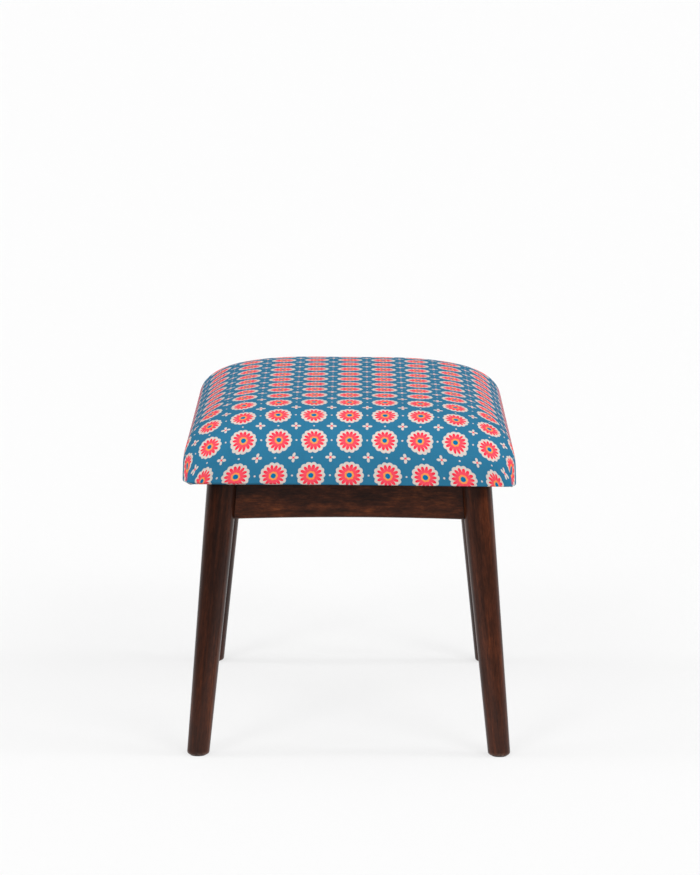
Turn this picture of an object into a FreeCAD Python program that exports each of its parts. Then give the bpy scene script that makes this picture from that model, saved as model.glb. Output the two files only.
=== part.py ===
"""Upholstered bench: a crowned, fabric covered seat on a splayed frame of round legs and arched rails.

Millimetres, +Z up, X across the seat, Y along it. The origin is on the floor, under the middle of the seat.
"""
import FreeCAD
import Part
import math
import os

# Seat pad
SEAT_LENGTH = 600.0
SEAT_WIDTH = 430.0
SEAT_HEIGHT = 454.0
PAD_DEPTH = 95.0
PAD_WALL = 24.0
PAD_CROWN = 2.5
EDGE_ROLL = 98.0
CORNER_RADIUS_HEM = 16.0
CORNER_RADIUS_TOP = 88.0
LEAST_CORNER_RADIUS = 2.0
COVER_THICKNESS = 1.2
COVER_EDGE_ROUND = 2.4
WADDING_THICKNESS = 6.0
BOARD_THICKNESS = 15.0
LAYER_GAP = 0.2
HEM_WIDTH = 36.0
HEM_CORNER_RADIUS = 24.0
BREATHER_DIAMETER = 20.0
BREATHER_SPACING_X = 150.0
BREATHER_SPACING_Y = 280.0
DUST_COVER_THICKNESS = 0.6
DUST_COVER_MARGIN = 21.0
DUST_COVER_CORNER_RADIUS = 12.0

# Legs
LEG_TOP_DIAMETER = 40.6
LEG_FOOT_DIAMETER = 29.0
LEG_SPLAY = 5.16
LEG_OVERHANG = 31.0
LEG_FOOT_ROUND = 4.0
LEG_TRIM = 20.0
FOOT_PAD_DIAMETER = 20.0
FOOT_PAD_THICKNESS = 1.0

# Rails and their joints
RAIL_DEPTH = 51.5
RAIL_THICKNESS = 18.0
RAIL_REVEAL = 13.0
RAIL_EDGE_EASE = 1.5
END_RAIL_ARCH = 3.0
SIDE_RAIL_ARCH = 7.0
TENON_THICKNESS = 8.0
TENON_DEPTH = 32.0
TENON_TOP_SHOULDER = 9.0
TENON_ROOT = 6.0
TENON_MITRE_GAP = 0.5
JOINT_CLEARANCE = 0.15

# Corner blocks
BLOCK_REACH = 62.0
BLOCK_DEPTH = 24.0
BLOCK_LEG_CLEARANCE = 4.0

# Screws and washers
SCREW_SHANK_DIAMETER = 4.5
SCREW_HEAD_DIAMETER = 9.0
SCREW_HEAD_HEIGHT = 3.0
SCREW_TIP = 3.5
SCREW_CLEARANCE = 0.1
COUNTERBORE_CLEARANCE = 0.6
BLOCK_SCREW_SPOT = 43.0
BLOCK_SCREW_SEAT = 9.0
BLOCK_SCREW_BITE = 12.0
SEAT_SCREW_SPOT = 23.0
SEAT_SCREW_BITE = 11.0
WASHER_DIAMETER = 14.0
WASHER_THICKNESS = 1.2

# Staples
STAPLE_CROWN = 10.0
STAPLE_LEG = 9.0
STAPLE_WIRE = 0.6
STAPLE_WIRE_WIDTH = 1.2
STAPLE_CLEARANCE = 0.05
STAPLE_CORNER_GAP = 30.0
COVER_STAPLE_LINE = 16.0
COVER_STAPLE_PITCH = 55.0
DUST_STAPLE_LINE = 26.0
DUST_STAPLE_PITCH = 95.0

# Sections through the pad's form, and how near an edge lies to the height it is picked at
ROLL_STEPS = 7
CROWN_STEPS = 5
PICK_TOLERANCE = 0.01

# Heights of the stack, from the floor
COVER_BOTTOM = SEAT_HEIGHT - PAD_DEPTH
FRAME_TOP = COVER_BOTTOM - DUST_COVER_THICKNESS
BOARD_BOTTOM = COVER_BOTTOM + COVER_THICKNESS
BOARD_TOP = BOARD_BOTTOM + BOARD_THICKNESS
ROLL_TOP = SEAT_HEIGHT - PAD_CROWN

# Insets of the pad's layers from the outside of the cover
WADDING_INSET = COVER_THICKNESS + LAYER_GAP
CORE_HOLLOW_INSET = WADDING_INSET + WADDING_THICKNESS
CORE_INSET = CORE_HOLLOW_INSET + LAYER_GAP

# Legs and rails in plan, for the corner at +X +Y
SPLAY_SLOPE = math.tan(math.radians(LEG_SPLAY))
LEG_TOP_RADIUS = LEG_TOP_DIAMETER / 2
LEG_FOOT_RADIUS = LEG_FOOT_DIAMETER / 2
LEG_TOP_X = SEAT_WIDTH / 2 - LEG_OVERHANG - LEG_TOP_RADIUS
LEG_TOP_Y = SEAT_LENGTH / 2 - LEG_OVERHANG - LEG_TOP_RADIUS
RAIL_MIDDLE = FRAME_TOP - RAIL_DEPTH / 2
LEG_SHARE_AT_RAIL = (RAIL_MIDDLE - FOOT_PAD_THICKNESS) / (FRAME_TOP - FOOT_PAD_THICKNESS)
LEG_RADIUS_AT_RAIL = LEG_FOOT_RADIUS + (LEG_TOP_RADIUS - LEG_FOOT_RADIUS) * LEG_SHARE_AT_RAIL
RAIL_OFFSET = LEG_RADIUS_AT_RAIL - RAIL_REVEAL - RAIL_THICKNESS / 2 + SPLAY_SLOPE * RAIL_DEPTH / 2
SIDE_RAIL_X = LEG_TOP_X + RAIL_OFFSET
END_RAIL_Y = LEG_TOP_Y + RAIL_OFFSET
INNER_X = SIDE_RAIL_X - RAIL_THICKNESS / 2
INNER_Y = END_RAIL_Y - RAIL_THICKNESS / 2
TENON_TOP = FRAME_TOP - TENON_TOP_SHOULDER
TENON_BOTTOM = TENON_TOP - TENON_DEPTH
BLOCK_SCREW_Z = FRAME_TOP - BLOCK_DEPTH / 2
SEAT_SCREW_X = INNER_X - SEAT_SCREW_SPOT
SEAT_SCREW_Y = INNER_Y - SEAT_SCREW_SPOT

CORNERS = {
    "front_left": (-1, -1),
    "front_right": (1, -1),
    "rear_left": (-1, 1),
    "rear_right": (1, 1),
}
ORIGIN = FreeCAD.Vector(0, 0, 0)
X_AXIS = FreeCAD.Vector(1, 0, 0)
Y_AXIS = FreeCAD.Vector(0, 1, 0)
Z_AXIS = FreeCAD.Vector(0, 0, 1)
SWAP_X_AND_Y = FreeCAD.Vector(1, -1, 0)


def prism(points, bottom, top):
    """Upright solid with a straight-sided outline."""
    corners = [FreeCAD.Vector(x, y, bottom) for x, y in points]
    face = Part.Face(Part.makePolygon(corners + corners[:1]))
    return face.extrude(FreeCAD.Vector(0, 0, top - bottom))


def block(low, high):
    """Box between two corners."""
    size = FreeCAD.Vector(*high) - FreeCAD.Vector(*low)
    return Part.makeBox(size.x, size.y, size.z, FreeCAD.Vector(*low))


def rounded_outline(half_x, half_y, radius, z):
    """Closed wire of a rectangle with round corners, centred on the Z axis."""
    arcs = []
    for turn, (side_x, side_y) in enumerate(((1, 1), (-1, 1), (-1, -1), (1, -1))):
        centre = FreeCAD.Vector(side_x * (half_x - radius), side_y * (half_y - radius), z)
        points = []
        for half_turn in range(3):
            angle = math.radians(90 * turn + 45 * half_turn)
            points.append(centre + FreeCAD.Vector(math.cos(angle), math.sin(angle), 0) * radius)
        arcs.append(points)
    edges = []
    for index, points in enumerate(arcs):
        following = arcs[(index + 1) % len(arcs)]
        edges.append(Part.Arc(*points).toShape())
        edges.append(Part.LineSegment(points[2], following[0]).toShape())
    return Part.Wire(edges)


def rounded_plate(half_x, half_y, radius, bottom, top):
    """Flat plate with round corners, centred on the Z axis."""
    face = Part.Face(rounded_outline(half_x, half_y, radius, bottom))
    return face.extrude(FreeCAD.Vector(0, 0, top - bottom))


def to_corner(shape, side_x, side_y):
    """Shape made for the corner at +X +Y, mirrored to another corner."""
    if side_x < 0:
        shape = shape.mirror(ORIGIN, X_AXIS)
    if side_y < 0:
        shape = shape.mirror(ORIGIN, Y_AXIS)
    return shape


def in_all_corners(shape):
    """Copies of a shape made for the corner at +X +Y, one for each corner."""
    return [to_corner(shape, side_x, side_y) for side_x, side_y in CORNERS.values()]


def aimed(shape, point, direction):
    """Shape made along +Z from the origin, moved to a point and turned to a direction."""
    placed = shape.copy()
    placed.Placement = FreeCAD.Placement(point, FreeCAD.Rotation(Z_AXIS, direction))
    return placed


def pad_section(z, inset):
    """Half width, half length and corner radius of the pad at a height, inset from its outside."""
    roll_bottom = COVER_BOTTOM + PAD_WALL
    roll_rise = ROLL_TOP - roll_bottom - inset
    share = min(max((z - roll_bottom) / roll_rise, 0.0), 1.0)
    drawn_in = inset + (EDGE_ROLL - inset) * (1 - math.sqrt(1 - share ** 2))
    height_share = (z - COVER_BOTTOM) / (ROLL_TOP - COVER_BOTTOM)
    radius = CORNER_RADIUS_HEM + (CORNER_RADIUS_TOP - CORNER_RADIUS_HEM) * height_share - inset
    return SEAT_WIDTH / 2 - drawn_in, SEAT_LENGTH / 2 - drawn_in, max(radius, LEAST_CORNER_RADIUS)


def pad_form(inset, bottom):
    """Pad from a height upwards: upright wall, rolled edge and low crown, inset from its outside."""
    roll_bottom = max(COVER_BOTTOM + PAD_WALL, bottom)
    roll_rise = ROLL_TOP - inset - roll_bottom
    heights = []
    for step in range(ROLL_STEPS + 1):
        heights.append(roll_bottom + roll_rise * math.sin(math.radians(90 * step / ROLL_STEPS)))
    wires = [rounded_outline(*pad_section(z, inset), z) for z in heights]
    half_x, half_y, radius = pad_section(heights[-1], inset)
    for step in range(1, CROWN_STEPS):
        share = 1 - step / CROWN_STEPS
        z = heights[-1] + PAD_CROWN * (1 - share ** 2)
        wires.append(rounded_outline(half_x * share, half_y * share, radius * share, z))
    form = Part.makeLoft(wires, True, False)
    if bottom < roll_bottom:
        foot = rounded_outline(*pad_section(bottom, inset), bottom)
        form = form.fuse(Part.makeLoft([foot, wires[0]], True, True))
    return form


def fabric_cover():
    """Cover with its lower edge turned under the board as a hem."""
    outside = pad_form(0, COVER_BOTTOM)
    low_edges = [edge for edge in outside.Edges if edge.BoundBox.ZMax < COVER_BOTTOM + PICK_TOLERANCE]
    outside = outside.makeFillet(COVER_EDGE_ROUND, low_edges)
    inside = pad_form(COVER_THICKNESS, BOARD_BOTTOM)
    opening = rounded_plate(SEAT_WIDTH / 2 - HEM_WIDTH, SEAT_LENGTH / 2 - HEM_WIDTH, HEM_CORNER_RADIUS,
                            COVER_BOTTOM, BOARD_TOP)
    return outside.cut(inside).cut(opening).cut(Part.makeCompound(staple_pockets()))


def board_plate(inset):
    """Outline of the board through its thickness, inset from the outside of the cover."""
    half_x, half_y, radius = pad_section(BOARD_TOP, inset)
    return rounded_plate(half_x, half_y, radius, BOARD_BOTTOM, BOARD_TOP)


def wadding_wrap():
    """Wadding over the foam and round the edge of the board."""
    hollow = pad_form(CORE_HOLLOW_INSET, BOARD_TOP)
    return pad_form(WADDING_INSET, BOARD_BOTTOM).cut(hollow).cut(board_plate(CORE_HOLLOW_INSET))


def seat_board():
    """Plywood board with breather holes, and the seats of the screws and staples."""
    holes = staple_pockets()
    breather_spot = FreeCAD.Vector(BREATHER_SPACING_X / 2, BREATHER_SPACING_Y / 2, BOARD_BOTTOM)
    holes.extend(in_all_corners(Part.makeCylinder(BREATHER_DIAMETER / 2, BOARD_THICKNESS, breather_spot)))
    holes.extend(in_all_corners(seat_screw_hole()))
    return board_plate(CORE_INSET).cut(Part.makeCompound(holes))


def dust_cover():
    """Thin cloth that closes the underside, between the hem and the frame."""
    half_x = SEAT_WIDTH / 2 - DUST_COVER_MARGIN
    half_y = SEAT_LENGTH / 2 - DUST_COVER_MARGIN
    cloth = rounded_plate(half_x, half_y, DUST_COVER_CORNER_RADIUS, FRAME_TOP, COVER_BOTTOM)
    return cloth.cut(Part.makeCompound(in_all_corners(seat_screw_hole()) + staple_pockets()))


def leg_cone(top_x, top_y, growth):
    """Taper of a leg along its splayed axis, longer than the leg at both ends."""
    direction = FreeCAD.Vector(SPLAY_SLOPE, SPLAY_SLOPE, -1)
    length = (FRAME_TOP - FOOT_PAD_THICKNESS) * direction.Length
    direction.normalize()
    taper = (LEG_FOOT_RADIUS - LEG_TOP_RADIUS) / length
    start = FreeCAD.Vector(top_x, top_y, FRAME_TOP) - direction * LEG_TRIM
    start_radius = LEG_TOP_RADIUS - taper * LEG_TRIM + growth
    end_radius = LEG_FOOT_RADIUS + taper * LEG_TRIM + growth
    return Part.makeCone(start_radius, end_radius, length + 2 * LEG_TRIM, start, direction)


def mortise(rail_x, rail_y):
    """Space for the tenon of a rail that runs along X."""
    half = TENON_THICKNESS / 2 + JOINT_CLEARANCE
    low = (rail_x - LEG_TOP_DIAMETER, rail_y - half, TENON_BOTTOM - JOINT_CLEARANCE)
    return block(low, (rail_x + half, rail_y + half, TENON_TOP + JOINT_CLEARANCE))


def leg():
    """Round tapered leg, cut level at both ends and mortised for two rails."""
    slab = block((0, 0, FOOT_PAD_THICKNESS), (SEAT_WIDTH, SEAT_LENGTH, FRAME_TOP))
    shape = leg_cone(LEG_TOP_X, LEG_TOP_Y, 0).common(slab)
    foot_edges = [edge for edge in shape.Edges if edge.BoundBox.ZMax < FOOT_PAD_THICKNESS + PICK_TOLERANCE]
    shape = shape.makeFillet(LEG_FOOT_ROUND, foot_edges)
    side_mortise = mortise(END_RAIL_Y, SIDE_RAIL_X).mirror(ORIGIN, SWAP_X_AND_Y)
    return shape.cut(mortise(SIDE_RAIL_X, END_RAIL_Y)).cut(side_mortise)


def foot_pad():
    """Felt disc under a leg."""
    drop = (FRAME_TOP - FOOT_PAD_THICKNESS) * SPLAY_SLOPE
    spot = FreeCAD.Vector(LEG_TOP_X + drop, LEG_TOP_Y + drop, 0)
    return Part.makeCylinder(FOOT_PAD_DIAMETER / 2, FOOT_PAD_THICKNESS, spot)


def tenon(rail_x, rail_y):
    """Tenon of a rail that runs along X, mitred where it meets the other rail's tenon."""
    half = TENON_THICKNESS / 2
    root = rail_x - LEG_RADIUS_AT_RAIL - TENON_ROOT
    points = (
        (root, rail_y - half),
        (rail_x - half - TENON_MITRE_GAP, rail_y - half),
        (rail_x + half - TENON_MITRE_GAP, rail_y + half),
        (root, rail_y + half),
    )
    return prism(points, TENON_BOTTOM, TENON_TOP)


def rail_plate(half_length, middle_y, arch):
    """Rail along X with an arched, eased lower edge, before its ends are fitted to the legs."""
    face_y = middle_y - RAIL_THICKNESS / 2
    bottom = FRAME_TOP - RAIL_DEPTH
    left_low = FreeCAD.Vector(-half_length, face_y, bottom)
    right_low = FreeCAD.Vector(half_length, face_y, bottom)
    right_high = FreeCAD.Vector(half_length, face_y, FRAME_TOP)
    left_high = FreeCAD.Vector(-half_length, face_y, FRAME_TOP)
    outline = Part.Wire([
        Part.Arc(left_low, FreeCAD.Vector(0, face_y, bottom + arch), right_low).toShape(),
        Part.LineSegment(right_low, right_high).toShape(),
        Part.LineSegment(right_high, left_high).toShape(),
        Part.LineSegment(left_high, left_low).toShape(),
    ])
    plate = Part.Face(outline).extrude(FreeCAD.Vector(0, RAIL_THICKNESS, 0))
    low_edges = [edge for edge in plate.Edges
                 if edge.BoundBox.ZMax < FRAME_TOP - RAIL_DEPTH / 2 and edge.BoundBox.XLength > half_length]
    return plate.makeChamfer(RAIL_EDGE_EASE, low_edges)


def rail(leg_x, leg_y, rail_x, rail_y, arch):
    """Rail along X between two legs: ends scribed to the round legs, with a tenon at each end."""
    shape = rail_plate(rail_x, rail_y, arch)
    cone = leg_cone(leg_x, leg_y, JOINT_CLEARANCE)
    end_tenon = tenon(rail_x, rail_y)
    screw_x = rail_x - RAIL_THICKNESS / 2 - BLOCK_SCREW_SPOT
    screw_y = rail_y - RAIL_THICKNESS / 2 - BLOCK_SCREW_SEAT
    pilot = screw_hole(BLOCK_SCREW_SEAT + BLOCK_SCREW_BITE)
    pilot = aimed(pilot, FreeCAD.Vector(screw_x, screw_y, BLOCK_SCREW_Z), Y_AXIS)
    for side_x in (1, -1):
        shape = shape.cut(to_corner(cone, side_x, 1)).fuse(to_corner(end_tenon, side_x, 1))
        shape = shape.cut(to_corner(pilot, side_x, 1))
    return shape.removeSplitter()


def end_rail():
    """Rail across the end of the seat at +Y."""
    return rail(LEG_TOP_X, LEG_TOP_Y, SIDE_RAIL_X, END_RAIL_Y, END_RAIL_ARCH)


def side_rail():
    """Rail along the side of the seat at +X."""
    shape = rail(LEG_TOP_Y, LEG_TOP_X, END_RAIL_Y, SIDE_RAIL_X, SIDE_RAIL_ARCH)
    return shape.mirror(ORIGIN, SWAP_X_AND_Y)


def wood_screw(length):
    """Pan head screw along +Z, with the underside of its head at the origin."""
    radius = SCREW_SHANK_DIAMETER / 2
    head_top = FreeCAD.Vector(0, 0, -SCREW_HEAD_HEIGHT)
    head = Part.makeCylinder(SCREW_HEAD_DIAMETER / 2, SCREW_HEAD_HEIGHT, head_top)
    outer_edges = [edge for edge in head.Edges if edge.BoundBox.ZMax < -SCREW_HEAD_HEIGHT / 2]
    head = head.makeFillet(SCREW_HEAD_HEIGHT / 2, outer_edges)
    shank = Part.makeCylinder(radius, length - SCREW_TIP)
    tip = Part.makeCone(radius, 0, SCREW_TIP, FreeCAD.Vector(0, 0, length - SCREW_TIP))
    return head.fuse(shank).fuse(tip).removeSplitter()


def screw_hole(length):
    """Hole for the shank of a screw along +Z."""
    return Part.makeCylinder(SCREW_SHANK_DIAMETER / 2 + SCREW_CLEARANCE, length + SCREW_CLEARANCE)


def block_screw_places():
    """Places and directions of the two screws in the corner block at +X +Y."""
    into_end = FreeCAD.Vector(INNER_X - BLOCK_SCREW_SPOT, INNER_Y - BLOCK_SCREW_SEAT, BLOCK_SCREW_Z)
    into_side = FreeCAD.Vector(INNER_X - BLOCK_SCREW_SEAT, INNER_Y - BLOCK_SCREW_SPOT, BLOCK_SCREW_Z)
    return ((into_end, Y_AXIS), (into_side, X_AXIS))


def block_screws():
    """Screws through the corner blocks into the rails."""
    screw = wood_screw(BLOCK_SCREW_SEAT + BLOCK_SCREW_BITE)
    screws = []
    for point, direction in block_screw_places():
        screws.extend(in_all_corners(aimed(screw, point, direction)))
    return Part.makeCompound(screws)


def seat_screw_seat():
    """Underside of a seat screw's head, below its washer."""
    return FreeCAD.Vector(SEAT_SCREW_X, SEAT_SCREW_Y, FRAME_TOP - BLOCK_DEPTH - WASHER_THICKNESS)


def seat_screw_length():
    """Length under the head, from below the washer to its bite in the board."""
    return BOARD_BOTTOM + SEAT_SCREW_BITE - seat_screw_seat().z


def seat_screws():
    """Screws up through the corner blocks into the board."""
    screw = aimed(wood_screw(seat_screw_length()), seat_screw_seat(), Z_AXIS)
    return Part.makeCompound(in_all_corners(screw))


def seat_screw_hole():
    """Hole for a seat screw, through all that it passes."""
    return aimed(screw_hole(seat_screw_length()), seat_screw_seat(), Z_AXIS)


def seat_washers():
    """Washers under the heads of the seat screws."""
    washer = Part.makeCylinder(WASHER_DIAMETER / 2, WASHER_THICKNESS, seat_screw_seat())
    return Part.makeCompound(in_all_corners(washer.cut(seat_screw_hole())))


def corner_block():
    """Brace in the corner of the frame, cut off short of the leg and drilled for its screws."""
    nose = LEG_TOP_X + LEG_TOP_Y - math.sqrt(2) * (LEG_TOP_RADIUS + BLOCK_LEG_CLEARANCE)
    points = (
        (INNER_X, INNER_Y - BLOCK_REACH),
        (INNER_X, nose - INNER_X),
        (nose - INNER_Y, INNER_Y),
        (INNER_X - BLOCK_REACH, INNER_Y),
    )
    shape = prism(points, FRAME_TOP - BLOCK_DEPTH, FRAME_TOP).cut(seat_screw_hole())
    counterbore = Part.makeCylinder(SCREW_HEAD_DIAMETER / 2 + COUNTERBORE_CLEARANCE, BLOCK_REACH,
                                    FreeCAD.Vector(0, 0, -BLOCK_REACH))
    for point, direction in block_screw_places():
        shape = shape.cut(aimed(screw_hole(BLOCK_REACH), point, direction))
        shape = shape.cut(aimed(counterbore, point, direction))
    return shape


def staple(growth):
    """Staple with its crown along X under the origin and its legs upwards."""
    outer = STAPLE_CROWN / 2 + growth
    inner = STAPLE_CROWN / 2 - STAPLE_WIRE - growth
    half_width = STAPLE_WIRE_WIDTH / 2 + growth
    crown = block((-outer, -half_width, -STAPLE_WIRE), (outer, half_width, 0))
    left = block((-outer, -half_width, -STAPLE_WIRE), (-inner, half_width, STAPLE_LEG + growth))
    right = block((inner, -half_width, -STAPLE_WIRE), (outer, half_width, STAPLE_LEG + growth))
    return crown.fuse(left).fuse(right).removeSplitter()


def staple_row(shape, line, pitch, z):
    """Copies of a staple all round the underside, at a distance in from the sides of the pad."""
    copies = []
    for run, across, turn in ((SEAT_WIDTH, SEAT_LENGTH, 0), (SEAT_LENGTH, SEAT_WIDTH, 90)):
        count = int((run - 2 * line - 2 * STAPLE_CORNER_GAP) / pitch) + 1
        for side in (-1, 1):
            for index in range(count):
                along = (index - (count - 1) / 2) * pitch
                copy = shape.copy()
                copy.translate(FreeCAD.Vector(along, side * (across / 2 - line), z))
                copy.rotate(ORIGIN, Z_AXIS, turn)
                copies.append(copy)
    return copies


def cover_staples():
    """Staples of the hem."""
    return Part.makeCompound(staple_row(staple(0), COVER_STAPLE_LINE, COVER_STAPLE_PITCH, COVER_BOTTOM))


def dust_cover_staples():
    """Staples of the dust cover."""
    return Part.makeCompound(staple_row(staple(0), DUST_STAPLE_LINE, DUST_STAPLE_PITCH, FRAME_TOP))


def staple_pockets():
    """Slits that the staples make in the cloth and the board."""
    shape = staple(STAPLE_CLEARANCE)
    pockets = staple_row(shape, COVER_STAPLE_LINE, COVER_STAPLE_PITCH, COVER_BOTTOM)
    return pockets + staple_row(shape, DUST_STAPLE_LINE, DUST_STAPLE_PITCH, FRAME_TOP)


def build():
    """Every node of the bench, by name."""
    nodes = {}
    for piece, shape in (("leg", leg()), ("foot_pad", foot_pad()), ("block", corner_block())):
        for corner, sides in CORNERS.items():
            nodes[corner + "_" + piece] = to_corner(shape, *sides)
    nodes["rear_rail"] = end_rail()
    nodes["front_rail"] = to_corner(nodes["rear_rail"], 1, -1)
    nodes["right_rail"] = side_rail()
    nodes["left_rail"] = to_corner(nodes["right_rail"], -1, 1)
    nodes["block_screws"] = block_screws()
    nodes["seat_screws"] = seat_screws()
    nodes["seat_washers"] = seat_washers()
    nodes["seat_board"] = seat_board()
    nodes["foam_pad"] = pad_form(CORE_INSET, BOARD_TOP)
    nodes["wadding_wrap"] = wadding_wrap()
    nodes["fabric_cover"] = fabric_cover()
    nodes["cover_staples"] = cover_staples()
    nodes["dust_cover"] = dust_cover()
    nodes["dust_cover_staples"] = dust_cover_staples()
    return nodes


os.makedirs("parts", exist_ok=True)
for name, shape in build().items():
    state = "valid" if shape.isValid() else "broken"
    print(name, len(shape.Solids), "solids", round(shape.Volume), "mm3", state)
    shape.exportStep("parts/" + name + ".step")
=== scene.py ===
"""Looks of the upholstered bench: printed cover on a crowned pad, dark stained frame, pale studio."""

import math

import bpy
from mathutils import Euler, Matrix, Quaternion, Vector, noise


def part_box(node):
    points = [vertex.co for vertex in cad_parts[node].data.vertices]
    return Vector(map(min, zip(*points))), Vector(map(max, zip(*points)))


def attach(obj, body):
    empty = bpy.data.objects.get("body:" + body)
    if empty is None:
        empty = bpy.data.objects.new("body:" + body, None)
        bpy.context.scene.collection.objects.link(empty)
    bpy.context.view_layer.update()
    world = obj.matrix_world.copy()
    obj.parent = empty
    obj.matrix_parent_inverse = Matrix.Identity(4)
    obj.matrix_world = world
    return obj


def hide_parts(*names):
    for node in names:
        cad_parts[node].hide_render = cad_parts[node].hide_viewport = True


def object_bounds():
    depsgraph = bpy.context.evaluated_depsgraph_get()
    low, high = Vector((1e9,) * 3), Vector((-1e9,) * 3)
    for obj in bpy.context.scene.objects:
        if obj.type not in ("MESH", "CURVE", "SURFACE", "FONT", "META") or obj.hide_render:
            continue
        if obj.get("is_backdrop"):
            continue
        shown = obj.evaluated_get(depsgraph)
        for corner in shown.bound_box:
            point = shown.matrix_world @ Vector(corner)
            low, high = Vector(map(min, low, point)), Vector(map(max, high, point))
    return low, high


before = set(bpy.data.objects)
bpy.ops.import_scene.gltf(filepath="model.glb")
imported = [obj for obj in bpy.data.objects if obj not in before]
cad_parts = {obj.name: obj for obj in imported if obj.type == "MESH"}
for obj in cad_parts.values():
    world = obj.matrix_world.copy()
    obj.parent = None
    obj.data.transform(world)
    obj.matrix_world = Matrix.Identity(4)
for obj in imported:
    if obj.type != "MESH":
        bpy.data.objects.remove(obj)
cad_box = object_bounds()
scene = bpy.context.scene


def srgb(red, green, blue):
    """Colour given in display values from 0 to 255, as linear values."""
    channels = []
    for value in (red, green, blue):
        share = value / 255
        channels.append(share / 12.92 if share <= 0.04045 else ((share + 0.055) / 1.055) ** 2.4)
    return (*channels, 1.0)


# Pad, in metres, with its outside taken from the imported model
COVER_LOW, COVER_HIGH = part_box("fabric_cover")
BOARD_LOW, BOARD_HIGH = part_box("seat_board")
HALF_WIDTH = COVER_HIGH[0]
HALF_LENGTH = COVER_HIGH[1]
HEM_Z = COVER_LOW[2]
PAD_CROWN = 0.0025
ROLL_TOP = COVER_HIGH[2] - PAD_CROWN
PAD_WALL = 0.024
EDGE_ROLL = 0.098
CORNER_RADIUS_HEM = 0.016
CORNER_RADIUS_TOP = 0.088
LEAST_RADIUS = 0.002
COVER_THICKNESS = 0.0011
WADDING_INSET = 0.0030
WADDING_THICKNESS = 0.0034
WADDING_FOOT = 0.0010
FOAM_INSET = 0.0076

# Dust cover, slack between the rails and the corner blocks
DUST_LOW, DUST_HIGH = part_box("dust_cover")
DUST_CORNER_RADIUS = 0.012
DUST_THICKNESS = 0.0005
DUST_SAG = 0.0030
DUST_SAG_ROOM = (0.002, 0.06)
DUST_RIPPLE = 0.0012
RIPPLES_PER_METRE = 9
RIPPLE_SEED = 7
FRAME_INSIDE_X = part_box("right_rail")[0].x
FRAME_INSIDE_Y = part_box("rear_rail")[0].y
BLOCK_INSIDE_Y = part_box("rear_right_block")[0].y

# Hem and corner pleats
HEM_WIDTH = 0.036
HEM_CORNER_RADIUS = 0.024
HEM_ROUND = 0.0024
HEM_CREASE = 0.0003
PLEAT_HEIGHT = 0.027
PLEAT_FULL_HEIGHT = 0.25 * PLEAT_HEIGHT
PLEAT_RISE = 0.0010
PLEAT_SINK = 0.0015
PLEAT_SPREAD = 0.008
PLEAT_LAP = 0.0035
PLEAT_TUCK = 0.012
PLEAT_TUCK_SPREAD = 0.030
PLEAT_INSETS = (0.006, 0.016)

# Swelling of the cover over its padding, before its pleats are folded
SWELL_INSET = 0.0006
SWELL_RISE = 0.020
SWELL_FRAMES = 20
SWELL_LIMIT = 0.0025
HEM_HOLD_RISE = 3 * HEM_ROUND
PADDING_HOLD = 0.2
CLOTH_SETTINGS = {
    "quality": 4,
    "tension_stiffness": 25.0,
    "compression_stiffness": 25.0,
    "shear_stiffness": 10.0,
    "bending_stiffness": 1.0,
    "use_pressure": True,
    "uniform_pressure_force": 6.0,
}

# Uneven padding: the pad is higher on its left and the cover's lip lower on its right, apart from the hem
PAD_LIFT = 0.0027
LIP_SINK = 0.0015
LIP_INSET = 0.0040

# Screws: pan heads with a cross recess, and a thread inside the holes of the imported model
SCREW_LOW, SCREW_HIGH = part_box("block_screws")
SEAT_SCREW_LOW, SEAT_SCREW_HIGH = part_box("seat_screws")
SCREW_HEAD_RADIUS = 0.0045
SCREW_HEAD_HEIGHT = 0.0030
SCREW_HEAD_ROUND = 0.0015
SCREW_HEAD_STEPS = 6
SCREW_EDGE = 0.0001
SHARP_ANGLE = 40
SCREW_CREST = 0.00222
SCREW_ROOT = 0.0017
SCREW_PITCH = 0.0022
SCREW_NECK = 0.0012
SCREW_TIP = 0.0035
SCREW_ROW = 0.00037
RECESS_REACH = 0.0022
RECESS_WIDTH = 0.0010
RECESS_DEPTH = 0.0015
RECESS_POINT = 0.0019
RECESS_NARROWING = 0.6
RECESS_EASING = 1.06
BLOCK_SCREW_SPOT = 0.043
BLOCK_SCREW_SEAT = 0.009
SEAT_SCREW_SPOT = 0.023
SCREW_INSETS = (SEAT_SCREW_SPOT, BLOCK_SCREW_SPOT, BLOCK_SCREW_SEAT)

# Mesh of the pad: columns across, rows along, and rings in each stretch of its profile
COLUMNS = 68
ROWS = 98
LEVELS = COLUMNS // 2
HEM_RINGS = 5
HEM_CROWDING = 1.6
ROUND_RINGS = 4
WALL_RINGS = 5
LOW_ROLL_RINGS = 3
LOW_ROLL_ANGLE = 14.0
CAP_ROLL_RINGS = 24
FOLD_CLUSTER = 0.85
CLUSTERED_LEVELS = 0.6 * LEVELS
LAPPED_COLUMNS = 2
STEEP_STEP = 0.3
CLOTH_LAYER = "cloth"

# Values of the materials. A noise has its scale, detail and roughness, and before them, in wood, its stretch
# along the grain. A range carries its first two values to its last two. A relief is the strength of a
# bump, and its height in metres. A finish holds plain values of the shader.

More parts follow.
